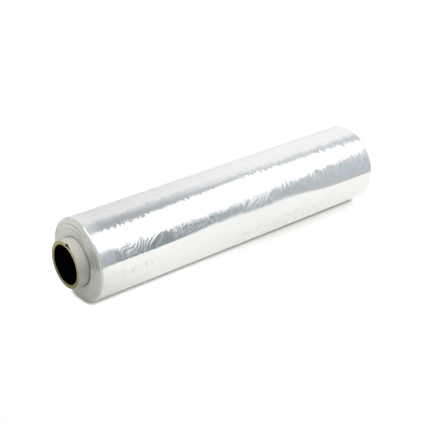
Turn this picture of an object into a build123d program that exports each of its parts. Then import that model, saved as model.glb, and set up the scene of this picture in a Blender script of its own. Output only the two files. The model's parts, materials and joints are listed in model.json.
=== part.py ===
from build123d import *
import math
import os

# Plastic film wound on a paperboard core, lying on its side.
# Millimetres, +Z up. The axis runs along X, and the core stands out of the end at -X.
# The origin is on the floor, under the middle of the whole length.

# Wound film
film_width = 450.0
film_diameter = 106.0
rest_flat_width = 14.0

# Paperboard core
core_bore = 50.0
core_wall = 5.0
core_overhang = 14.5
core_edge_chamfer = 0.6

# End faces of the winding: how far the rim sits back from the face at the core
near_rim_setback = 2.2
far_rim_setback = 0.8
rim_radius = 3.0
turn_groove_depth = 0.55

# Nick in the core's near edge, where the board has torn: a wedge from the top towards the front
nick_width = 2.6
nick_end_width = 0.5
nick_depth = 2.2
nick_end_depth = 0.3
nick_start_angle = 7.0
nick_sweep = 22.0

# How far cuts run past what they cut
cut_overrun = 2.0

# Bands of turns on each end face, from the core outwards: where a band ends, as a share of
# the face's height, and how deep the groove there is, as a share of the groove depth.
core_groove_share = 0.5
near_turn_shares = (
    (0.195, 1.0),
    (0.36, 0.45),
    (0.525, 0.9),
    (0.8, 1.0),
)
far_turn_shares = (
    (0.3, 0.6),
    (0.65, 0.8),
)

# Sizes that follow
film_radius = film_diameter / 2
core_radius = core_bore / 2 + core_wall
whole_length = core_overhang + film_width
near_core_x = -whole_length / 2
far_core_x = whole_length / 2
near_face_x = near_core_x + core_overhang
far_face_x = far_core_x
face_height = film_radius - rim_radius - core_radius
axis_height = math.sqrt(film_radius**2 - (rest_flat_width / 2) ** 2)


# Film winding: all its turns in one solid
def face_point(height_share, sink, face_x, inward, rim_setback):
    """A point of an end face, which falls back from the core to the rim."""
    setback = rim_setback * height_share**2 + sink
    return (face_x + inward * setback, core_radius + height_share * face_height)


def end_face(face_x, inward, rim_setback, turn_shares):
    """The edge of one end face: a rounded band for each group of turns, then the round rim."""
    grooves = [(0, core_groove_share), *turn_shares, (1, 0)]
    bands = []
    for (start, start_sink), (end, end_sink) in zip(grooves, grooves[1:]):
        bands.append(
            ThreePointArc(
                face_point(start, start_sink * turn_groove_depth, face_x, inward, rim_setback),
                face_point((start + end) / 2, 0, face_x, inward, rim_setback),
                face_point(end, end_sink * turn_groove_depth, face_x, inward, rim_setback),
            )
        )
    rim_x = face_x + inward * rim_setback
    rim_centre = (rim_x + inward * rim_radius, film_radius - rim_radius)
    rim_reach = rim_radius * math.sqrt(1 / 2)
    rim = ThreePointArc(
        (rim_x, film_radius - rim_radius),
        (rim_centre[0] - inward * rim_reach, rim_centre[1] + rim_reach),
        (rim_centre[0], film_radius),
    )
    return [*bands, rim]


def film_winding():
    near_edges = end_face(near_face_x, 1, near_rim_setback, near_turn_shares)
    far_edges = end_face(far_face_x, -1, far_rim_setback, far_turn_shares)
    side = Line(near_edges[-1] @ 1, far_edges[-1] @ 1)
    inside = Line(far_edges[0] @ 0, near_edges[0] @ 0)
    section = make_face([*near_edges, side, *far_edges, inside])
    winding = Pos(0, 0, axis_height) * revolve(section, Axis.X)
    floor_block = Box(
        2 * whole_length,
        film_diameter,
        film_diameter,
        align=(Align.CENTER, Align.CENTER, Align.MAX),
    )
    return winding - floor_block


# Core: a spiral-wound paperboard tube, with the nick in its near edge
def nick_section(angle, width, depth):
    """The nick across the wall, at one angle from the top towards the front."""
    turn = math.radians(angle)
    # On this plane X points out of the axis, and Y runs into the tube.
    across_wall = Plane(
        origin=(near_core_x, 0, axis_height),
        x_dir=(0, -math.sin(turn), math.cos(turn)),
        z_dir=(0, math.cos(turn), math.sin(turn)),
    )
    outline = Rectangle(width + cut_overrun, depth + cut_overrun, align=Align.MIN)
    return across_wall * Pos(core_radius - width, -cut_overrun) * outline


def edge_nick():
    start = nick_section(nick_start_angle, nick_width, nick_depth)
    end = nick_section(nick_start_angle + nick_sweep, nick_end_width, nick_end_depth)
    return loft([start, end])


def core_tube():
    bore_radius = core_bore / 2
    section = Polygon(
        (near_core_x, bore_radius + core_edge_chamfer),
        (near_core_x, core_radius),
        (far_core_x, core_radius),
        (far_core_x, bore_radius + core_edge_chamfer),
        (far_core_x - core_edge_chamfer, bore_radius),
        (near_core_x + core_edge_chamfer, bore_radius),
        align=None,
    )
    tube = Pos(0, 0, axis_height) * revolve(section, Axis.X)
    return tube - edge_nick()


os.makedirs("parts", exist_ok=True)
export_step(film_winding(), "parts/film_winding.step")
export_step(core_tube(), "parts/core_tube.step")
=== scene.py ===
# %% [markdown]
# # A roll of plastic film
#
# The roll is one long web of clear film, wound turn on turn on a paperboard tube. It lies on its
# side on a white table, and the tube stands out of the end that faces us. Two pieces make it: the
# winding and the tube. Both are modelled again here over the solids of the frame, because their
# looks come from small things: the bands of turns on the ends, the fine pleats in the outer turn,
# and the plies of the tube.

# %% Load the frame
import json
import math

import bpy
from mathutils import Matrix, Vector


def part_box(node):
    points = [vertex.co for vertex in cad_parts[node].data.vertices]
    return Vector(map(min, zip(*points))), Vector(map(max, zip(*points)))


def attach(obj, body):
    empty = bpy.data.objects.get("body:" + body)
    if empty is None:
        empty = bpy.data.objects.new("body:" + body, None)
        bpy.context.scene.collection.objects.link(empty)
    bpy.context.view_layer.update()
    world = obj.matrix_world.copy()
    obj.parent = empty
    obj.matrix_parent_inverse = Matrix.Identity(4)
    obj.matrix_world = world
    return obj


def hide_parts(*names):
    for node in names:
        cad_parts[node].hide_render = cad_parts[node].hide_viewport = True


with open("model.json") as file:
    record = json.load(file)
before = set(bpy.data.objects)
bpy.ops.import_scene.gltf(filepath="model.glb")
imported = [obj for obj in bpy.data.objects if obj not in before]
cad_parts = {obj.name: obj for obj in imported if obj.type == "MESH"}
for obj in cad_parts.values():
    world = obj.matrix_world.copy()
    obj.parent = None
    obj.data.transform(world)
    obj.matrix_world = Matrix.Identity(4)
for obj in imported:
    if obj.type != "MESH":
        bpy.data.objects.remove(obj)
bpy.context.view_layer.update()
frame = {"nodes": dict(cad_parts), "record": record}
bpy.context.scene.view_settings.view_transform = "Standard"
print("nodes:", sorted(frame["nodes"]))

# %% [markdown]
# ## Sizes
#
# What the frame knows is read from it, so it doesn't have to be fitted by eye. The axis lies along
# X. The bore in the record gives its height, and the boxes of the two nodes give the radii and the
# ends. Small sizes that no box shows, such as the rim and the grooves, stand with their piece.

# %% Read the sizes
MM = 0.001
WHITE = (1, 1, 1, 1)

bore = next(mount for mount in frame["record"]["mounts"] if mount["name"] == "core_bore")
axis_height = bore["pos_m"][2]
bore_radius = bore["dims"]["r_mm"] * MM
film_low, film_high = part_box("film_winding")
tube_low, tube_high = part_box("core_tube")
film_radius = film_high.z - axis_height
tube_radius = (tube_high.z - tube_low.z) / 2
print(f"film radius {film_radius:.4f} m, tube radius {tube_radius:.4f} m, axis {axis_height:.4f} m up")

# %% [markdown]
# ## A small kit for node trees
#
# Materials and Geometry Nodes are both node trees. Clicking them together is quick, but in a
# script the links soon hide the idea. So one class wraps a socket and turns plain arithmetic into
# Math nodes, and one method puts any other node on the tree: its type, its settings, then what
# goes into its sockets. A third class says where on the roll a tree is read, because nearly every
# mark on a roll has its place along the axis, round it or out from it.


class Wire:
    """One output socket. Arithmetic on wires adds Math nodes to their tree."""

    def __init__(self, board, socket):
        self.board = board
        self.socket = socket

    def __add__(self, other):
        return self.board.math("ADD", self, other)

    def __radd__(self, other):
        return self.board.math("ADD", other, self)

    def __sub__(self, other):
        return self.board.math("SUBTRACT", self, other)

    def __rsub__(self, other):
        return self.board.math("SUBTRACT", other, self)

    def __mul__(self, other):
        return self.board.math("MULTIPLY", self, other)

    def __rmul__(self, other):
        return self.board.math("MULTIPLY", other, self)

    def __truediv__(self, other):
        return self.board.math("DIVIDE", self, other)

    def __pow__(self, other):
        return self.board.math("POWER", self, other)

    def output(self, name):
        """Another output of the same node."""
        return Wire(self.board, self.socket.node.outputs[name])


class Board:
    """A node tree, and the ways to put nodes on it."""

    def __init__(self, tree):
        self.tree = tree

    def node(self, kind, settings=(), sockets=(), output=0):
        made = self.tree.nodes.new(kind)
        for name, value in dict(settings).items():
            setattr(made, name, value)
        for key, value in dict(sockets).items():
            if isinstance(value, Wire):
                self.tree.links.new(value.socket, made.inputs[key])
            else:
                made.inputs[key].default_value = value
        return Wire(self, made.outputs[output]) if made.outputs else made

    def math(self, operation, *values):
        return self.node("ShaderNodeMath", {"operation": operation}, enumerate(values))

    def step(self, value, low, high, start=0.0, end=1.0):
        """Goes smoothly from start to end while value goes from low to high."""
        sockets = {"Value": value, "From Min": low, "From Max": high, "To Min": start, "To Max": end}
        return self.node("ShaderNodeMapRange", {"interpolation_type": "SMOOTHSTEP"}, sockets)

    def vector(self, x, y, z):
        return self.node("ShaderNodeCombineXYZ", (), enumerate((x, y, z)))

    def split(self, vector):
        parts = self.node("ShaderNodeSeparateXYZ", (), {0: vector})
        return parts, parts.output("Y"), parts.output("Z")

    def noise(self, vector, detail, **more):
        """Noise from 0 to 1 at a vector that is already scaled to the pattern."""
        sockets = {"Vector": vector, "Scale": 1.0, "Detail": detail, **more}
        return self.node("ShaderNodeTexNoise", (), sockets)

    def mix(self, share, first, second):
        sockets = {"Factor": share, 6: first, 7: second}
        return self.node("ShaderNodeMix", {"data_type": "RGBA"}, sockets, 2)

    def open_sky(self, reach, samples):
        """1 where nothing stands within reach, and less close to other things."""
        settings = {"samples": samples}
        return self.node("ShaderNodeAmbientOcclusion", settings, {"Distance": reach}, "AO")


class Spot:
    """Where on the roll a tree is read: along the axis, across it, above it and out from it."""

    def __init__(self, board, place, axis, reach):
        self.board = board
        self.reach = reach
        self.x, self.y, self.z = board.split(place)
        self.up = self.z - axis
        self.radius = board.math("SQRT", self.y * self.y + self.up * self.up)

    def rise(self, low, high, start=0.0, end=1.0):
        """A step over the height above the axis, in shares of the piece's radius."""
        return self.board.step(self.up, low * self.reach, high * self.reach, start, end)

    def back(self, low, high, start=0.0, end=1.0):
        """A step from front to back, in shares of the piece's radius."""
        return self.board.step(self.y, low * self.reach, high * self.reach, start, end)

    def grain(self, cell, detail, **more):
        """Noise in cells with one length along the axis and one round it."""
        along, across = cell
        vector = self.board.vector(self.x / along, self.y / across, self.up / across)
        return self.board.noise(vector, detail, **more)

    def rings(self, cell, detail):
        """Noise in rings, with one length outwards and one round the axis."""
        outwards, across = cell
        vector = self.board.vector(self.radius / outwards, self.y / across, self.up / across)
        return self.board.noise(vector, detail)


print("node kit ready")

# %% [markdown]
# ## Camera
#
# A long lens looks down on the roll from the side of the tube. The angle, distance and focal
# length come from fitting a camera to the outlines of the roll in the photograph, and the aim is
# a point close to the middle of the roll.

# %% Set the camera
camera_azimuth = math.radians(-39.0)
camera_elevation = math.radians(27.24)
camera_distance = 1.344
camera_aim = Vector((-0.0109, 0.0, 0.0506))
camera_lens = 88.43

camera_data = bpy.data.cameras.new("camera")
camera_data.lens = camera_lens
camera = bpy.data.objects.new("camera", camera_data)
bpy.context.scene.collection.objects.link(camera)
towards_camera = Vector(
    (
        math.sin(camera_azimuth) * math.cos(camera_elevation),
        -math.cos(camera_azimuth) * math.cos(camera_elevation),
        math.sin(camera_elevation),
    )
)
camera.location = camera_aim + camera_distance * towards_camera
camera.rotation_euler = (-towards_camera).to_track_quat("-Z", "Y").to_euler()
bpy.context.scene.camera = camera
print("camera at", [round(value, 3) for value in camera.location])

# %% [markdown]
# ## Table and light
#
# Wound film is nearly a mirror, so its look is made by what stands round it. A photographer puts
# such a roll on a white table under one large softbox, with a lit white backdrop behind and a dim
# room in front. Each of these shows as a band along the roll: table, room, softbox, room and
# backdrop, from the bottom up. The set here is the same. The lens doesn't see the room, because
# the room is hidden from camera rays and the background is white.


# %% White background
def seen_rays(board, names=("Is Camera Ray", "Is Glossy Ray", "Is Transmission Ray")):
    """1 for rays from the lens and for rays that gloss or glass sends on, 0 for the rest."""
    path = board.node("ShaderNodeLightPath")
    seen = path.output(names[0])
    for name in names[1:]:
        seen = board.math("MAXIMUM", seen, path.output(name))
    return seen


def material_board(name):
    """A new material and its empty tree."""
    material = bpy.data.materials.new(name)
    material.use_nodes = True
    material.node_tree.nodes.clear()
    return material, Board(material.node_tree)


def glow_only(board, **sockets):
    """Ends a tree with light and nothing else."""
    glow = board.node("ShaderNodeEmission", (), sockets)
    board.node("ShaderNodeOutputMaterial", (), {"Surface": glow})


def stage_panel(name, corners, material):
    """A flat panel of the set through the corners."""
    mesh = bpy.data.meshes.new(name)
    mesh.from_pydata(corners, [], [range(len(corners))])
    mesh.materials.append(material)
    obj = bpy.data.objects.new(name, mesh)
    bpy.context.scene.collection.objects.link(obj)
    return obj


world = bpy.data.worlds.new("white background")
world.use_nodes = True
world.node_tree.nodes.clear()
board = Board(world.node_tree)
background = board.node("ShaderNodeBackground", (), {"Color": WHITE, "Strength": seen_rays(board)})
board.node("ShaderNodeOutputWorld", (), {"Surface": background})
bpy.context.scene.world = world
print("world:", world.name)

# %% [markdown]
# ### Table
#
# The table is white paper, and it does three jobs. For the lens it glows almost pure white, and
# Ambient Occlusion draws a soft shadow close to the roll. For the film it is what the lower part
# of the roll mirrors: bright below the roll, dimmer past a slanting edge in front where the lamp's
# light ends, and dimmer behind, so that the roll's top line stays pale grey. For all other light it
# is plain paper. The Light Path node tells these rays apart. One corner of the table is cut away,
# so that the end with the tube mirrors the dim room there.

# %% What the film sees of the table
gloss_reach = 8 * MM
gloss_samples = 8
table_gloss_glow = (0.0, 0.62)
table_glow_fade = (-0.30, -0.10)
side_glow = (1.0, 0.35)
side_glow_fade = (-0.36, -0.28)
lit_edge_x = (0.03, 0.19)
lit_edge_y = (-0.54, -0.27)
lit_edge_slope = 0.35
lit_edge_soft = 0.05
half_light = (0.74, 0.22)
half_light_fade = (0.20, 0.34)
half_light_colour = (0.75, 0.91, 1.0, 1.0)
rear_start_x = (-0.20, -0.10)
rear_start_y = (0.06, 0.20)
rear_dim = 0.36


def table_in_gloss(board, x, y):
    """How bright the table is in the film, and in which colour."""
    level = board.step(x, *side_glow_fade, *side_glow)
    level = level + board.step(x, *table_glow_fade, *table_gloss_glow)
    level = level * board.open_sky(gloss_reach, gloss_samples)
    past_bend = board.math("MAXIMUM", x - lit_edge_x[1], 0.0)
    lit_edge = board.step(x, *lit_edge_x, *lit_edge_y) + past_bend * lit_edge_slope
    lit = board.step(y - lit_edge, 0.0, lit_edge_soft)
    half_level = board.step(x, *half_light_fade, *half_light)
    level = level * (lit * (1 - half_level) + half_level)
    behind = board.step(x, *rear_start_x) * board.step(y, *rear_start_y)
    level = level * (1 - behind * rear_dim)
    return level, board.mix(lit, half_light_colour, WHITE)


print("table in the film: half light at", half_light)

# %% Table top
table_front = -0.50
table_back = 2.2
table_left = -0.80
table_right = 2.8
table_notch = (-0.36, 0.10)
notch_slant = 0.04
table_colour = (0.48, 0.48, 0.46, 1.0)
table_lens_glow = 0.95
contact_reach = 5 * MM
shadow_reach = 45 * MM
shadow_samples = 16
shadow_start = (-0.10, 0.12)
shadow_shares = (0.06, 0.30)
shadow_colour = (1.0, 0.965, 0.86, 1.0)


def table_finish():
    material, board = material_board("table paper")
    rays = board.node("ShaderNodeLightPath")
    from_lens = rays.output("Is Camera Ray")
    first_hit = 1 - board.math("MINIMUM", rays.output("Diffuse Depth"), 1.0)
    x, y, _ = board.split(board.node("ShaderNodeTexCoord", output="Object"))
    gloss_level, gloss_colour = table_in_gloss(board, x, y)
    gloss_glow = seen_rays(board, ("Is Glossy Ray", "Is Transmission Ray")) * first_hit * gloss_level
    contact = board.open_sky(contact_reach, shadow_samples)
    shadow = board.open_sky(shadow_reach, shadow_samples)
    shadow_share = board.step(x, *shadow_start, *shadow_shares)
    shade = contact * (1 - shadow_share) + shadow * shadow_share
    lens_glow = from_lens * shade * table_lens_glow
    lens_colour = board.mix(shade, shadow_colour, WHITE)
    glow_colour = board.mix(from_lens, gloss_colour, lens_colour)
    glow_sockets = {"Color": glow_colour, "Strength": gloss_glow + lens_glow}
    glow = board.node("ShaderNodeEmission", (), glow_sockets)
    paper = board.node("ShaderNodeBsdfDiffuse", (), {"Color": table_colour})
    both = board.node("ShaderNodeAddShader", (), {0: paper, 1: glow})
    board.node("ShaderNodeOutputMaterial", (), {"Surface": both})
    return material


table_corners = [
    (table_notch[0], table_front, 0),
    (table_right, table_front, 0),
    (table_right, table_back, 0),
    (table_left, table_back, 0),
    (table_left, table_notch[1] + notch_slant, 0),
    (table_notch[0], table_notch[1], 0),
]
table = stage_panel("table", table_corners, table_finish())
print("table:", table.dimensions[:2])

# %% [markdown]
# ### Dim room
#
# A mirror needs something dark in it to look like one. A large box round the set stands for the
# unlit room, bluish, and darker at the middle than at its two ends. It glows a little, and it is
# hidden from the lens, from shadows and from diffuse light, so that only the film's gloss sees it.

# %% Dim room
room_low = Vector((-4.0, -4.0, -1.2))
room_high = Vector((5.0, 4.0, 4.5))
room_colours = ((0.12, 0.21, 0.25, 1.0), (0.52, 0.65, 0.72, 1.0))
room_fade = (2.0, 3.8)
ceiling_colours = ((0.22, 0.26, 0.31, 1.0), (0.60, 0.65, 0.72, 1.0))
ceiling_start = (1.6, 2.2)
end_wall_start = (4.2, 4.9)
end_wall_colour = (0.95, 0.97, 1.0, 1.0)

room_paint, board = material_board("room paint")
x, y, z = board.split(board.node("ShaderNodeTexCoord", output="Object"))
along = board.step(board.math("ABSOLUTE", x), *room_fade)
paint = board.mix(along, *room_colours)
paint = board.mix(board.step(z, *ceiling_start), paint, board.mix(along, *ceiling_colours))
paint = board.mix(board.step(x, *end_wall_start), paint, end_wall_colour)
glow_only(board, Color=paint, Strength=1.0)
room_paint.cycles.emission_sampling = "NONE"
corners = [
    (x, y, z)
    for x in (room_low.x, room_high.x)
    for y in (room_low.y, room_high.y)
    for z in (room_low.z, room_high.z)
]
sides = [(0, 1, 3, 2), (4, 6, 7, 5), (0, 4, 5, 1), (2, 3, 7, 6), (0, 2, 6, 4), (1, 5, 7, 3)]
mesh = bpy.data.meshes.new("room")
mesh.from_pydata(corners, [], sides)
mesh.materials.append(room_paint)
room = bpy.data.objects.new("room", mesh)
bpy.context.scene.collection.objects.link(room)
room.visible_camera = False
room.visible_shadow = False
room.visible_diffuse = False
print("room:", len(sides), "sides")

# %% [markdown]
# ### Softbox
#
# One large lamp hangs over the roll and leans towards the front. Its cloth is a flat panel that
# glows. The mirror image of that panel is the broad white band along the roll, so the outline of
# the panel says where the band starts and ends. The points go along the front edge and back along
# the rear one, and the corners cut off at the far end make the band taper there.

# %% Softbox
softbox_tilt = math.radians(28.5)
softbox_distance = 1.1
softbox_front = (
    (-0.36, 0.72),
    (0.56, 0.735),
    (0.96, 0.765),
    (1.05, 0.60),
    (1.14, 0.50),
    (1.235, 0.305),
)
softbox_rear = (
    (1.26, -0.18),
    (1.24, -0.32),
    (1.20, -0.52),
    (1.09, -0.56),
    (0.98, -0.62),
    (0.75, -0.58),
    (0.53, -0.42),
    (-0.36, -0.25),
)
softbox_radiance = 1.8

softbox_foot = Vector((0, 0, axis_height))
softbox_up = Vector((0, -math.sin(softbox_tilt), math.cos(softbox_tilt)))
softbox_across = Vector((0, -math.cos(softbox_tilt), -math.sin(softbox_tilt)))
softbox_along = Vector((1, 0, 0))


def above_roll(distance, points):
    """Points along and across a plane that leans over the roll."""
    middle = softbox_foot + distance * softbox_up
    return [middle + along * softbox_along + across * softbox_across for along, across in points]


softbox_outline = above_roll(softbox_distance, (*softbox_front, *softbox_rear))
softbox_cloth, board = material_board("softbox cloth")
glow_only(board, Strength=softbox_radiance)
softbox = stage_panel("softbox", softbox_outline, softbox_cloth)
softbox.visible_camera = False
print("softbox:", len(softbox_outline), "corners")

# %% [markdown]
# ### Backdrop
#
# Behind the table a sheet of white paper leans over the set, and the top of the roll mirrors it.
# Real paper is never lit evenly. Here it is brighter towards the far end of the roll, and dimmer
# at its foot, on the near side and high up, where it also turns a little blue.

# %% Backdrop
backdrop_foot_y = 2.0
backdrop_top_y = 0.70
backdrop_top_z = 2.7
backdrop_x = (-3.5, 4.5)
backdrop_left_fade = (-0.4, 0.3)
backdrop_left_level = 0.45
backdrop_side_fade = (0.4, 1.6)
backdrop_levels = (0.78, 1.14)
backdrop_fade = (1.7, 2.6)
backdrop_dark_fade = (1.2, 2.0)
backdrop_low_fade = (0.30, 0.90)
backdrop_low_level = 0.90
backdrop_dark_levels = (0.46, 1.14)
backdrop_dark_colour = (0.78, 0.90, 1.0, 1.0)

backdrop_paper, board = material_board("backdrop paper")
x, y, z = board.split(board.node("ShaderNodeTexCoord", output="Object"))
level = board.step(x, *backdrop_side_fade, *backdrop_levels)
level = level * board.step(x, *backdrop_left_fade, backdrop_left_level, 1.0)
dark_level = board.step(x, *backdrop_dark_fade, *backdrop_dark_levels)
high = board.step(z, *backdrop_fade)
level = level + (dark_level - level) * high
level = level * board.step(z, *backdrop_low_fade, backdrop_low_level, 1.0)
near_side = board.step(x, *backdrop_dark_fade, 1.0, 0.0)
paper = board.mix(high * near_side, WHITE, backdrop_dark_colour)
glow_only(board, Color=paper, Strength=level)
backdrop_corners = [
    (backdrop_x[0], backdrop_foot_y, 0),
    (backdrop_x[1], backdrop_foot_y, 0),
    (backdrop_x[1], backdrop_top_y, backdrop_top_z),
    (backdrop_x[0], backdrop_top_y, backdrop_top_z),
]
backdrop = stage_panel("backdrop", backdrop_corners, backdrop_paper)
backdrop.visible_camera = False
print("backdrop:", backdrop_top_z, "m high")

# %% [markdown]
# ### Wing card
#
# The softbox hardly reaches the end with the tube, which faces away from it. A photographer lights
# such an end with a white card. This one hangs past the near end, parallel to the softbox and a
# little higher, and it is brighter than the softbox because it stands further off to the side.

# %% Wing card
wing_distance = 1.2
wing_x = (-2.6, -0.3)
wing_across = (-1.3, 0.0)
wing_level = 2.7

wing_paper, board = material_board("wing card")
glow_only(board, Strength=wing_level)
wing_outline = (
    (wing_x[0], wing_across[0]),
    (wing_x[1], wing_across[0]),
    (wing_x[1], wing_across[1]),
    (wing_x[0], wing_across[1]),
)
wing = stage_panel("wing card", above_roll(wing_distance, wing_outline), wing_paper)
wing.visible_camera = False
print("wing card:", wing_level)

# %% [markdown]
# ## Winding: the section
#
# Seen edge on, the film's turns are far too thin to count. What shows on an end is bands: groups
# of turns that ran a little to one side while the film was wound, each with a rounded edge. The
# whole winding is one turned shape, so it starts as a section: a closed line of points in the
# plane of the axis. The bands are arcs between grooves, as in the solid, and finer ridges of
# single turns are added on them.

# %% Draw the section
rim_radius = 3.0 * MM
near_setback = 2.2 * MM
far_setback = 0.8 * MM
groove_depth = 0.55 * MM
core_groove_share = 0.5
near_groove_shares = ((0.195, 1.0), (0.36, 0.45), (0.525, 0.9), (0.8, 1.0))
far_groove_shares = ((0.3, 0.6), (0.65, 0.8))
near_face_steps = 72
far_face_steps = 40
rim_steps = 10
side_steps = 640
turn_ridge_height = 0.02 * MM
turn_ridge_pitches = (1.13 * MM, 1.71 * MM, 2.39 * MM)

near_face_x = film_low.x
far_face_x = film_high.x
face_height = film_radius - rim_radius - tube_radius


def band_sink(share, groove_shares):
    """How deep the face lies under its crests at a share of its height."""
    grooves = [(0.0, core_groove_share), *groove_shares, (1.0, 0.0)]
    for (start, start_sink), (end, end_sink) in zip(grooves, grooves[1:]):
        if share <= end:
            along = 2 * (share - start) / (end - start) - 1
            sink = start_sink if along < 0 else end_sink
            return sink * groove_depth * along**2
    return 0.0


def turn_ridge(height):
    """Ridges of single turns: three waves that never fall in step."""
    waves = [math.sin(2 * math.pi * height / pitch) for pitch in turn_ridge_pitches]
    return turn_ridge_height * sum(waves) / len(waves)


def end_points(face_x, inward, setback, groove_shares, steps):
    """Points of one end, from the tube to the start of the side."""
    points = []
    for index in range(steps):
        share = index / steps
        height = share * face_height
        depth = setback * share**2 + band_sink(share, groove_shares) + turn_ridge(height)
        points.append((face_x + inward * max(depth, 0.0), tube_radius + height))
    for index in range(rim_steps + 1):
        turn = math.pi / 2 * index / rim_steps
        along = setback + rim_radius * (1 - math.cos(turn))
        points.append((face_x + inward * along, film_radius - rim_radius + rim_radius * math.sin(turn)))
    return points


def section_line(name, points):
    """A mesh with one edge from each point of a section to the next."""
    mesh = bpy.data.meshes.new(name)
    edges = [(index, index + 1) for index in range(len(points) - 1)]
    mesh.from_pydata([(x, radius, 0) for x, radius in points], edges, [])
    return mesh


near_end = end_points(near_face_x, 1, near_setback, near_groove_shares, near_face_steps)
far_end = end_points(far_face_x, -1, far_setback, far_groove_shares, far_face_steps)
side_start = near_end[-1][0]
side_length = far_end[-1][0] - side_start
side = [(side_start + side_length * index / side_steps, film_radius) for index in range(1, side_steps)]
section = [*near_end, *side, *reversed(far_end), near_end[0]]
section_mesh = section_line("film section", section)
print("section points:", len(section))

# %% [markdown]
# ## Turning a section
#
# A Geometry Nodes tree turns the section about the axis. A grid has one row of points for each
# point of the section and one column for each step round the axis. Every grid point looks up its
# section point by row and swings it out to its own angle. The two open edges then meet, and
# merging closes them. A tree does this well, because the same tree also lifts the pleats, and one
# number changes how fine the whole piece is.

# %% Trees that turn a section
merge_distance = 0.01 * MM


def geometry_board(name, sizes):
    """A tree with a section, named sizes and a finish as its inputs."""
    tree = bpy.data.node_groups.new(name, "GeometryNodeTree")
    tree.interface.new_socket("Section", in_out="INPUT", socket_type="NodeSocketGeometry")
    for size in sizes:
        kind = "NodeSocketInt" if size == "Steps round" else "NodeSocketFloat"
        tree.interface.new_socket(size, in_out="INPUT", socket_type=kind)
    tree.interface.new_socket("Finish", in_out="INPUT", socket_type="NodeSocketMaterial")
    tree.interface.new_socket("Piece", in_out="OUTPUT", socket_type="NodeSocketGeometry")
    return Board(tree)


def turned(board, inputs):
    """The section swung round the axis and closed."""
    section = inputs.output("Section")
    points = board.node("GeometryNodeAttributeDomainSize", {"component": "MESH"}, {0: section})
    grid_sockets = {
        "Size X": 1.0,
        "Size Y": 1.0,
        "Vertices X": points,
        "Vertices Y": inputs.output("Steps round") + 1,
    }
    grid = board.node("GeometryNodeMeshGrid", (), grid_sockets)
    place = board.node("GeometryNodeInputPosition")
    row, column, _ = board.split(place)
    index = board.math("ROUND", (row + 0.5) * (points - 1))
    settings = {"data_type": "FLOAT_VECTOR", "domain": "POINT"}
    sampled = board.node("GeometryNodeSampleIndex", settings, {0: section, 1: place, 2: index})
    along, radius, _ = board.split(sampled)
    angle = (column + 0.5) * math.tau
    back = radius * board.math("SINE", angle) * -1
    up = radius * board.math("COSINE", angle) + inputs.output("Axis height")
    swung_sockets = {"Geometry": grid, "Position": board.vector(along, back, up)}
    swung = board.node("GeometryNodeSetPosition", (), swung_sockets)
    merge_sockets = {"Geometry": swung, "Distance": merge_distance}
    return board.node("GeometryNodeMergeByDistance", (), merge_sockets)


def finish_tree(board, inputs, geometry):
    """Ends a tree: smooth shading, real geometry and the finish."""
    smooth = board.node("GeometryNodeSetShadeSmooth", (), {"Geometry": geometry})
    real = board.node("GeometryNodeRealizeInstances", (), {"Geometry": smooth})
    finish_sockets = {"Geometry": real, "Material": inputs.output("Finish")}
    finished = board.node("GeometryNodeSetMaterial", (), finish_sockets)
    board.node("NodeGroupOutput", (), {"Piece": finished})


def shaped(name, start_mesh, tree, values):
    """Runs a tree on a start mesh and keeps the result as a plain mesh."""
    piece = bpy.data.objects.new(name, start_mesh)
    bpy.context.scene.collection.objects.link(piece)
    modifier = piece.modifiers.new(tree.name, "NODES")
    modifier.node_group = tree
    for socket in tree.interface.items_tree:
        if socket.name in values:
            modifier[socket.identifier] = values[socket.name]
    evaluated = piece.evaluated_get(bpy.context.evaluated_depsgraph_get())
    mesh = bpy.data.meshes.new_from_object(evaluated)
    piece.modifiers.remove(modifier)
    piece.data = mesh
    return piece


print("turning tree ready")

# %% [markdown]
# ## Winding: finish
#
# Clear film in many turns is like a stack of thin glass plates. Each one sends a little light
# back, and together they act as a pale mirror, which Metallic stands for here. Light that gets in
# spreads between the turns before it comes out, so the rest is Subsurface. What tells film from
# chrome is how uneven it is, and that changes along the roll and round it. The next cells each
# make one kind of unevenness from the place on the roll, with no seam, because noise is read in
# space and not on an angle.

# %% Stretches and ridges
rim_fade = (1.8 * MM, 0.3 * MM)


def side_share(board, spot):
    """1 on the side of the winding, 0 on its ends."""
    return board.step(spot.radius, film_radius - rim_fade[0], film_radius - rim_fade[1])


def patch(board, value, centre, half_length):
    """1 in the middle of a stretch, and 0 outside it."""
    away = board.math("ABSOLUTE", value - centre)
    return board.step(away, half_length, 0.5 * half_length)


def ridges(board, value, sharpness):
    """Thin ridges where a value from 0 to 1 passes its middle."""
    return (1 - board.math("ABSOLUTE", value * 2 - 1)) ** sharpness


print("side starts", rim_fade, "m from the rim")

# %% [markdown]
# ### Wrinkles
#
# Where the outer turn is loose it creases, and each stretch of the roll has creases of its own:
# slanting strokes near the tube, knotted wiggles in the middle and long slashes past it. Strokes
# and slashes are slanting stripes that noise bends. Wiggles follow the contour lines of a noise,
# as on a map.

# %% Wrinkles
bend_cell = (20 * MM, 14 * MM)
stroke_lean = 0.8
stroke_pitch = 7.0 * MM
stroke_bend = 4
stroke_sharpness = 2.6
stroke_patch = (-0.158, 0.040)
knot_cell = (10 * MM, 10 * MM)
wiggle_lines = 6
wiggle_sharpness = 2.5
wiggle_patch = (-0.062, 0.062)
slash_lean = 0.9
slash_pitch = 9.0 * MM
slash_bend = 2.5
slash_sharpness = 2.0
slash_patch = (0.026, 0.034)
wrinkle_top = (0.50, 0.62)


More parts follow.
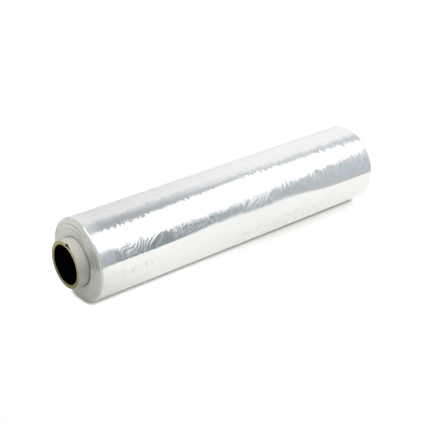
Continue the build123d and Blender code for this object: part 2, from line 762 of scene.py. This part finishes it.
def wrinkles(board, spot):
    """Strokes, wiggles and slashes, each on its own stretch of the roll, from 0 to 1."""
    bend = spot.grain(bend_cell, 0.0)
    strokes = (spot.x - spot.up * stroke_lean) / stroke_pitch + bend * stroke_bend
    strokes = ridges(board, board.math("FRACT", strokes), stroke_sharpness)
    wiggles = spot.grain(knot_cell, 0.0) * wiggle_lines
    wiggles = ridges(board, board.math("FRACT", wiggles), wiggle_sharpness)
    slashes = (spot.x - spot.up * slash_lean) / slash_pitch + bend * slash_bend
    slashes = ridges(board, board.math("FRACT", slashes), slash_sharpness)
    below = spot.rise(*wrinkle_top, 1.0, 0.0)
    strokes = strokes * patch(board, spot.x, *stroke_patch) * below
    wiggles = wiggles * patch(board, spot.x, *wiggle_patch) * below
    slashes = slashes * patch(board, spot.x, *slash_patch) * below
    return strokes, wiggles, slashes


print("wrinkles: strokes, wiggles and slashes")

# %% [markdown]
# ### Pleats, slack and sag
#
# The film was pulled tight along the web, so its pleats run round the roll, and a mirror with such
# pleats shows each edge of the softbox as a fringe. A pleat is far too shallow to model. It only
# has to lean the surface a little round the axis, so noise in long thin cells turns the normal.
# Slack says where the film is loose enough to pleat, and sag leans whole stretches of the lower
# front, which shifts the band of the table there.

# %% Pleats, slack and sag
comb_cell = (2.0 * MM, 18 * MM)
comb_reach = (-0.10, 0.08)
comb_tilt = (0.30, 0.50)
fringe_cell = (0.7 * MM, 8 * MM)
fringe_rise = (0.72, 0.84)
fringe_tilt = 0.60
wrinkle_tilts = (0.30, 0.16, 0.50)
slack_rise = (0.20, 0.40, 0.08, 1.0)
slack_top = (0.70, 0.86, 1.0, 0.55)
slack_back = (-0.24, -0.08, 1.0, 0.012)
plain_end = (0.0, 0.020)
sag_start = (-0.12, -0.02)
sag_end = (0.07, 0.17)
sag_tilts = (-0.09, 0.03)
sag_rise = (0.02, 0.14)
sag_top = (0.38, 0.50)


def film_slack(board, spot):
    """How loose the outer turn is: loose on the front, tight behind, below and at the near end."""
    slack = spot.rise(*slack_rise) * spot.rise(*slack_top) * spot.back(*slack_back)
    return slack * board.step(spot.x - near_face_x, *plain_end)


def film_sag(board, spot):
    """How the lower front leans: inwards on the middle of the roll, outwards at the far end."""
    sag = board.step(spot.x, *sag_start, 0.0, sag_tilts[0])
    sag = sag + board.step(spot.x, *sag_end, 0.0, sag_tilts[1] - sag_tilts[0])
    return sag * spot.rise(*sag_rise) * spot.rise(*sag_top, 1.0, 0.0)


def film_lean(board, spot, marks):
    """How far the outer turn leans round the axis."""
    comb = spot.grain(comb_cell, 2.0, Roughness=0.5) - 0.5
    lean = comb * board.step(spot.x, *comb_reach, *comb_tilt)
    fringe = spot.grain(fringe_cell, 1.0) - 0.5
    lean = lean + fringe * spot.rise(*fringe_rise, 0.0, fringe_tilt)
    for mark, tilt in zip(marks, wrinkle_tilts):
        lean = lean + mark * tilt
    return lean * film_slack(board, spot) + film_sag(board, spot)


print("pleats:", comb_cell, "fringe:", fringe_cell)

# %% [markdown]
# ### Ends of the film
#
# On an end we look at the cut edges of the film. They scatter light, so the end is paler, rougher
# and ringed. Each band of turns leans outwards at its shoulder, and on the upper front painted
# shade darkens each band towards its shoulder. Painted shade also darkens the film at the tube,
# most on the front, and low down on the end. The radius says which band a point is on.

# %% Bands, roots and shade
film_colour = (0.81, 0.81, 0.795, 1.0)
film_edge_colour = (0.76, 0.76, 0.70, 1.0)
film_shade_colour = (0.24, 0.23, 0.13, 1.0)
tube_shade_fade = (0.03, 0.16, 1.0, 0.0)
tube_shade_front = (0.1, 0.7, 0.45, 1.0)
band_shade = 0.85
band_shade_sharpness = 2.0
band_shade_front = (0.60, 0.95)
band_shade_rise = (0.08, 0.22)
low_shade = (-0.2, -0.8, 0.0, 0.25)


def band_shoulders(board, share, sharpness):
    """Bands of turns on the near end, from 0 at a band's foot to 1 at its shoulder."""
    starts = [0.0, *[share_end for share_end, _ in near_groove_shares]]
    ends = [*starts[1:], 1.0]
    lean = share * 0
    for start, end in zip(starts, ends):
        along = (share - start) / (end - start)
        inside = board.math("GREATER_THAN", along, 0.0) * board.math("LESS_THAN", along, 1.0)
        lean = lean + inside * along**sharpness
    return lean


def film_base(board, spot, share, on_side):
    """The film's colour, with painted shade on the ends at the tube, in the bands and low down."""
    on_end = 1 - on_side
    front = spot.y / spot.radius * -1
    colour = board.mix(on_side, film_edge_colour, film_colour)
    # painted shade where the film meets the tube, deeper on the front
    root = board.step(share, *tube_shade_fade) * board.step(front, *tube_shade_front)
    colour = board.mix(root, colour, film_shade_colour)
    # painted shade on the bands towards their shoulders, on the upper front of the end
    upper_front = board.step(front, *band_shade_front)
    upper_front = upper_front * board.step(spot.up / spot.radius, *band_shade_rise)
    shade = band_shoulders(board, share, band_shade_sharpness) * upper_front * on_end
    colour = board.mix(shade * band_shade, colour, film_shade_colour)
    # painted shade on the lower part of the end
    low = spot.rise(*low_shade) * on_end
    return board.mix(low, colour, film_shade_colour)


print("bands on the near end:", len(near_groove_shares) + 1)

# %% [markdown]
# ### Haze and ticks
#
# Air between loose turns makes film milky. Here haze is a colour that takes the place of the
# mirror: fine hairs, a veil that thins out towards the far end, and the wrinkles. It lies in the
# dark band below the softbox, where it shows most. Ticks are short grey dashes in two rows lower
# down: painted darker reflections in small dents of the film.

# %% Haze and ticks
hair_cell = (1.7 * MM, 16 * MM)
cloud_cell = (13 * MM, 25 * MM)
cloud_share = 0.5
hair_fade = (0.68, 0.92)
haze_clear = (-0.128, 0.026)
hair_clearings = ((haze_clear, 0.95), (wiggle_patch, 0.85))
veil_fade = (0.04, 0.12)
veil_levels = (0.36, 0.10)
veil_clearings = ((haze_clear, 1.0), (stroke_patch, 0.7), (slash_patch, 0.4), (wiggle_patch, 0.6))
near_haze_fade = (0.034, 0.012)
near_hair_fade = (0.40, 0.62, 0.3, 0.9)
wrinkle_haze = (0.8, 1.2, 1.5)
haze_rise = (0.20, 0.30, 0.08, 1.0)
haze_top = (0.50, 0.60, 1.0, 0.12)
crown_rise = (0.86, 0.92, 0.0, 0.03)
crown_back = (-0.30, -0.05, 1.0, 0.3)
near_veil_fade = (0.024, 0.006)
near_veil_rise = (0.74, 0.80)
near_veil_level = 0.5
dash_cell = (2.0 * MM, 7 * MM)
dash_fade = (0.56, 0.66)
near_row = (-0.165, 0.045, -0.07, 0.10)
far_row = (0.060, 0.105, -0.40, 0.24)
far_row_level = 1.2


def cleared(board, spot, haze, clearings):
    """Haze thinned out on some stretches of the roll."""
    for stretch, amount in clearings:
        haze = haze * (1 - patch(board, spot.x, *stretch) * amount)
    return haze


def film_haze(board, spot, marks, calm):
    """How milky the side is, from 0 to 1."""
    from_end = spot.x - near_face_x
    hair = spot.grain(hair_cell, 3.0, Roughness=0.6)
    cloud = spot.grain(cloud_cell, 1.0)
    hairs = cleared(board, spot, board.step(hair + cloud * cloud_share, *hair_fade), hair_clearings)
    veil = cleared(board, spot, board.step(spot.x, *veil_fade, *veil_levels), veil_clearings)
    near_hairs = board.step(from_end, *near_haze_fade) * board.step(hair, *near_hair_fade)
    haze = hairs + veil + near_hairs
    for mark, amount in zip(marks, wrinkle_haze):
        haze = haze + mark * amount
    in_band = spot.rise(*haze_rise) * spot.rise(*haze_top)
    on_crown = spot.rise(*crown_rise) * spot.back(*crown_back)
    haze = board.math("MINIMUM", haze, 1.0) * (in_band + on_crown) * calm
    near_veil = board.step(from_end, *near_veil_fade) * spot.rise(*near_veil_rise)
    return haze + near_veil * near_veil_level


def tick_row(board, spot, x, half_length, rise, half_height):
    """1 along one row of ticks, with its height in shares of the film's radius."""
    along = patch(board, spot.x, x, half_length)
    return along * patch(board, spot.up, rise * film_radius, half_height * film_radius)


def film_ticks(board, spot):
    """Short dashes in two rows."""
    rows = tick_row(board, spot, *near_row) + tick_row(board, spot, *far_row) * far_row_level
    return board.step(spot.grain(dash_cell, 1.0), *dash_fade) * rows


print("haze: hairs, veil and wrinkles; ticks in two rows")

# %% [markdown]
# ### One material for the film
#
# The normal takes the leans of the side and of the bands, and a Bump node adds fine streaks round
# the side and rings on the ends. Then one Principled shader gets everything. Haze makes it less
# of a mirror, and the side is glossier than the ends, apart from a blur close to the near end.

# %% Film material
band_tilt = 1.2
band_tilt_sharpness = 5.0
band_tilt_front = (0.4, 0.95, 0.15, 1.0)
streak_cell = (1.3 * MM, 20 * MM)
streak_height = 0.003
ring_cell = (0.45 * MM, 30 * MM)
ring_height = 0.02
calm_back = (-0.45, -0.20, 1.0, 0.35)
haze_colour = (0.80, 0.83, 0.845, 1.0)
tick_reflection_colour = (0.45, 0.46, 0.46, 1.0)
tick_strength = 0.60
near_blur_fade = (0.026, 0.004, 0.0, 0.12)
end_metallic = 0.36
side_metallic = 0.30
haze_metallic = 0.50
end_roughness = 0.36
side_gloss = 0.30
haze_roughness = 0.08
film_glow_depth = 12 * MM


def film_normal(board, spot, share, on_side, marks, calm):
    """The normal with the leans of the side and the bands, and with streaks and rings."""
    on_end = 1 - on_side
    turn = film_lean(board, spot, marks) * on_side / spot.radius
    lean = band_shoulders(board, share, band_tilt_sharpness) * on_end * band_tilt / spot.radius
    lean = lean * board.step(spot.y / spot.radius * -1, *band_tilt_front)
    tilt = board.vector(0, spot.up * turn + spot.y * lean, spot.up * lean - spot.y * turn)
    normal = board.node("ShaderNodeNewGeometry", output="Normal")
    tilted = board.node("ShaderNodeVectorMath", {"operation": "ADD"}, {0: normal, 1: tilt})
    tilted = board.node("ShaderNodeVectorMath", {"operation": "NORMALIZE"}, {0: tilted})
    streak = spot.grain(streak_cell, 3.0, Roughness=0.7)
    rings = spot.rings(ring_cell, 2.0)
    height = streak * calm * on_side * streak_height + rings * on_end * ring_height
    return board.node("ShaderNodeBump", (), {"Distance": MM, "Height": height, "Normal": tilted})


def film_finish():
    material, board = material_board("wound film")
    place = board.node("ShaderNodeTexCoord", output="Object")
    spot = Spot(board, place, axis_height, film_radius)
    on_side = side_share(board, spot)
    share = (spot.radius - tube_radius) / face_height
    marks = wrinkles(board, spot)
    calm = spot.back(*calm_back)
    haze = film_haze(board, spot, marks, calm) * on_side
    ticks = film_ticks(board, spot) * tick_strength
    colour = board.mix(haze, film_base(board, spot, share, on_side), haze_colour)
    # painted darker reflections of small dents, in two rows of ticks
    colour = board.mix(ticks, colour, tick_reflection_colour)
    near_blur = board.step(spot.x - near_face_x, *near_blur_fade) * on_side
    shader_sockets = {
        "Base Color": colour,
        "Metallic": end_metallic + on_side * side_metallic - haze * haze_metallic,
        "Roughness": end_roughness - on_side * side_gloss + haze * haze_roughness + near_blur,
        "Normal": film_normal(board, spot, share, on_side, marks, calm),
        "Subsurface Weight": 1.0,
        "Subsurface Radius": (1, 1, 1),
        "Subsurface Scale": film_glow_depth,
    }
    shader = board.node("ShaderNodeBsdfPrincipled", (), shader_sockets)
    board.node("ShaderNodeOutputMaterial", (), {"Surface": shader})
    return material


film_material = film_finish()
print("finish:", film_material.name)

# %% [markdown]
# ## Winding: the piece
#
# The tree turns the section, lifts shallow pleats and presses flat what would be below the table,
# because a soft roll settles under its own weight. The result is kept as a plain mesh. It takes
# the place of the solid and rides on the same body.

# %% Turn the winding
film_steps = 124
pleat_height = 0.012 * MM
pleat_cell = (7.0 * MM, 20 * MM)
pleat_rise = (0.18, 0.45, 0.15, 1.0)

film_board = geometry_board("film winding", ("Steps round", "Axis height", "Pleat height"))
film_inputs = film_board.node("NodeGroupInput")


def film_relief(board, inputs, geometry):
    """Lifts pleats in the outer turn and presses the flat that the roll lies on."""
    place = board.node("GeometryNodeInputPosition")
    spot = Spot(board, place, inputs.output("Axis height"), film_radius)
    pleat = spot.grain(pleat_cell, 0.0) - 0.5
    lift = pleat * inputs.output("Pleat height") * spot.rise(*pleat_rise) * side_share(board, spot)
    normal = board.node("GeometryNodeInputNormal")
    offset = board.node("ShaderNodeVectorMath", {"operation": "SCALE"}, {0: normal, "Scale": lift})
    lifted = board.node("GeometryNodeSetPosition", (), {"Geometry": geometry, "Offset": offset})
    x, y, z = board.split(board.node("GeometryNodeInputPosition"))
    on_table = board.vector(x, y, board.math("MAXIMUM", z, 0.0))
    return board.node("GeometryNodeSetPosition", (), {"Geometry": lifted, "Position": on_table})


film_body = film_relief(film_board, film_inputs, turned(film_board, film_inputs))
finish_tree(film_board, film_inputs, film_body)
film_values = {
    "Steps round": film_steps,
    "Axis height": axis_height,
    "Pleat height": pleat_height,
    "Finish": film_material,
}
film = shaped("film_turns", section_mesh, film_board.tree, film_values)
film.data.calc_loop_triangles()
print("film triangles:", len(film.data.loop_triangles))
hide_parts("film_winding")
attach(film, "root")

# %% [markdown]
# ## Tube: finish
#
# The tube is wound from strips of paperboard. Its cut end is tan board with the plies showing as
# rings, and painted shade makes it darker towards the bottom. Its outside is white paper, with
# painted shade at the top and painted light at the bottom, and its bore is painted near black as
# deep shade. One material paints all three, because the radius says where each one is. A nick is
# torn out of the near edge, and its floor is painted near black as shade. The bore's paint has no
# gloss at all, so it is a plain diffuse shader, mixed in by the radius.

# %% Tube finish
board_colours = ((0.52, 0.43, 0.18, 1), (0.96, 0.83, 0.46, 1))
board_shade_colour = (0.20, 0.165, 0.06, 1)
board_shade_rise = (0.5, -0.7, 0.0, 0.75)
paper_shade_colours = ((0.66, 0.655, 0.60, 1), (0.95, 0.94, 0.86, 1))
paper_shade_rise = (0.3, -0.5)
paper_depth = (0.30 * MM, 0.15 * MM)
bore_shade_colour = (0.002, 0.002, 0.002, 1)
bore_shade_depth = (0.25 * MM, 0.10 * MM)
fibre_length = 0.6 * MM
fibre_share = 0.3
ply_cell = (0.5 * MM, 40 * MM)
board_roughness = 0.62
fibre_roughness = 0.2
fibre_bump = 0.1 * MM
fibre_bump_strength = 0.5
seam_angle = math.radians(250)
seam_radius = 27.0 * MM
seam_size = 1.1 * MM
nick_colour = (0.006, 0.005, 0.004, 1)
nick_start = math.radians(7.0)
nick_end = math.radians(29.0)
nick_depth = 2.2 * MM
nick_widths = (2.6 * MM, 0.5 * MM)
nick_middle = 0.314
nick_reach = (0.21, 0.19)
nick_lip = (0.06 * MM, 0.2 * MM)
nick_inner = (0.9 * MM, 1.1 * MM)
nick_margin = 0.1 * MM


def nick_shade(board, spot):
    """1 inside the nick, 0 on the rest of the tube."""
    turn = board.math("ARCTAN2", spot.y * -1, spot.up)
    sunk = spot.x - tube_low.x
    floor = (nick_end - turn) / (nick_end - nick_start) * nick_depth + nick_margin
    deep = board.step(sunk, *nick_lip) * board.math("LESS_THAN", sunk, floor)
    deep = deep * board.step(spot.radius, bore_radius + nick_inner[0], bore_radius + nick_inner[1])
    return deep * board.step(board.math("ABSOLUTE", turn - nick_middle), *nick_reach)


def seam_shade(board, spot):
    """1 at the dark dot where a seam between strips comes out of the cut end."""
    seam_y = spot.y + math.sin(seam_angle) * seam_radius
    seam_up = spot.up - math.cos(seam_angle) * seam_radius
    away = board.math("SQRT", seam_y * seam_y + seam_up * seam_up)
    return board.step(away, seam_size, 0.5 * seam_size)


def tube_finish():
    material, board = material_board("tube board")
    place = board.node("ShaderNodeTexCoord", output="Object")
    spot = Spot(board, place, axis_height, tube_radius)
    outside = board.step(spot.radius, tube_radius - paper_depth[0], tube_radius - paper_depth[1])
    inside = board.step(spot.radius, bore_radius + bore_shade_depth[0], bore_radius + bore_shade_depth[1])
    fibre_place = board.vector(spot.x / fibre_length, spot.y / fibre_length, spot.z / fibre_length)
    fibre = board.noise(fibre_place, 3.0)
    plies = spot.rings(ply_cell, 1.0)
    colour = board.mix(plies * (1 - fibre_share) + fibre * fibre_share, *board_colours)
    # painted shade: the cut end darker towards the bottom
    colour = board.mix(spot.rise(*board_shade_rise), colour, board_shade_colour)
    colour = board.mix(seam_shade(board, spot), colour, nick_colour)
    # painted shade and light on the outside paper: darker at the top, lighter at the bottom
    colour = board.mix(outside, colour, board.mix(spot.rise(*paper_shade_rise), *paper_shade_colours))
    # painted shade on the floor of the nick
    colour = board.mix(nick_shade(board, spot), colour, nick_colour)
    bump_sockets = {"Strength": fibre_bump_strength, "Distance": fibre_bump, "Height": fibre}
    shader_sockets = {
        "Base Color": colour,
        "Roughness": board_roughness + fibre * fibre_roughness,
        "Normal": board.node("ShaderNodeBump", (), bump_sockets),
    }
    shader = board.node("ShaderNodeBsdfPrincipled", (), shader_sockets)
    # the bore painted near black as deep shade
    bore_shade = board.node("ShaderNodeBsdfDiffuse", (), {"Color": bore_shade_colour})
    both = board.node("ShaderNodeMixShader", (), {0: inside, 1: shader, 2: bore_shade})
    board.node("ShaderNodeOutputMaterial", (), {"Surface": both})
    return material


tube_material = tube_finish()
print("finish:", tube_material.name)

# %% [markdown]
# ## Tube: the section
#
# The tube is a turned shape too. Its section goes across the near cut end, along the outside,
# across the far end and back through the bore. The cut ends have a small chamfer at the bore, a
# softened outer edge and a shallow wave with one crest for each ply.

# %% Draw the tube's section
ply = 0.7 * MM
ply_ridge_height = 0.05 * MM
chamfer = 0.6 * MM
edge_round = 0.25 * MM
edge_cut = 0.3 * edge_round
end_steps = 28
overhang_steps = 14
bore_steps = 8


def tube_end(end_x, inward, steps):
    """Points across one cut end, from the bore to the outside."""
    inner = bore_radius + chamfer
    points = [(end_x + inward * chamfer, bore_radius)]
    for index in range(steps + 1):
        radius = inner + (tube_radius - edge_round - inner) * index / steps
        ridge = ply_ridge_height * (1 - math.cos(2 * math.pi * (radius - inner) / ply)) / 2
        points.append((end_x + inward * ridge, radius))
    points.append((end_x + inward * edge_cut, tube_radius - edge_cut))
    points.append((end_x + inward * edge_round, tube_radius))
    return points


tube_near = tube_end(tube_low.x, 1, end_steps)
tube_far = tube_end(tube_high.x, -1, end_steps)
overhang = near_face_x - tube_near[-1][0]
tube_side = [
    (tube_near[-1][0] + overhang * (index + 1) / overhang_steps, tube_radius)
    for index in range(overhang_steps)
]
bore_length = tube_high.x - tube_low.x - 2 * chamfer
tube_bore = [
    (tube_high.x - chamfer - bore_length * (index + 1) / bore_steps, bore_radius)
    for index in range(bore_steps)
]
tube_section = [*tube_near, *tube_side, *reversed(tube_far), *tube_bore]
tube_mesh = section_line("tube section", tube_section)
print("tube section points:", len(tube_section))

# %% [markdown]
# ## Tube: the piece
#
# The same kind of tree turns the tube. The nick is a wedge: widest and deepest near the top, and
# running out towards the front. The tree presses it into the cut end by moving the points inside
# the wedge along the axis, which leaves the mesh closed, as a cut with a second shape might not.

# %% Turn the tube
tube_steps = 256

tube_board = geometry_board("core tube", ("Steps round", "Axis height", "Nick depth"))
tube_inputs = tube_board.node("NodeGroupInput")


def press_nick(board, inputs, geometry):
    """Presses in the wedge that is torn out of the near cut end."""
    place = board.node("GeometryNodeInputPosition")
    spot = Spot(board, place, inputs.output("Axis height"), tube_radius)
    angle = board.math("ARCTAN2", spot.y * -1, spot.up)
    along = (angle - nick_start) / (nick_end - nick_start)
    width = nick_widths[0] + (nick_widths[1] - nick_widths[0]) * along
    inside = board.math("LESS_THAN", tube_radius - spot.radius, width)
    inside = inside * board.math("GREATER_THAN", along, 0.0) * board.math("LESS_THAN", along, 1.0)
    floor = tube_low.x + inputs.output("Nick depth") * (1 - along)
    depth = board.math("MAXIMUM", floor - spot.x, 0.0)
    offset = board.vector(inside * depth, 0, 0)
    return board.node("GeometryNodeSetPosition", (), {"Geometry": geometry, "Offset": offset})


tube_body = press_nick(tube_board, tube_inputs, turned(tube_board, tube_inputs))
finish_tree(tube_board, tube_inputs, tube_body)
tube_values = {
    "Steps round": tube_steps,
    "Axis height": axis_height,
    "Nick depth": nick_depth,
    "Finish": tube_material,
}
tube = shaped("tube_plies", tube_mesh, tube_board.tree, tube_values)
tube.data.calc_loop_triangles()
print("tube triangles:", len(tube.data.loop_triangles))
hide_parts("core_tube")
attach(tube, "root")
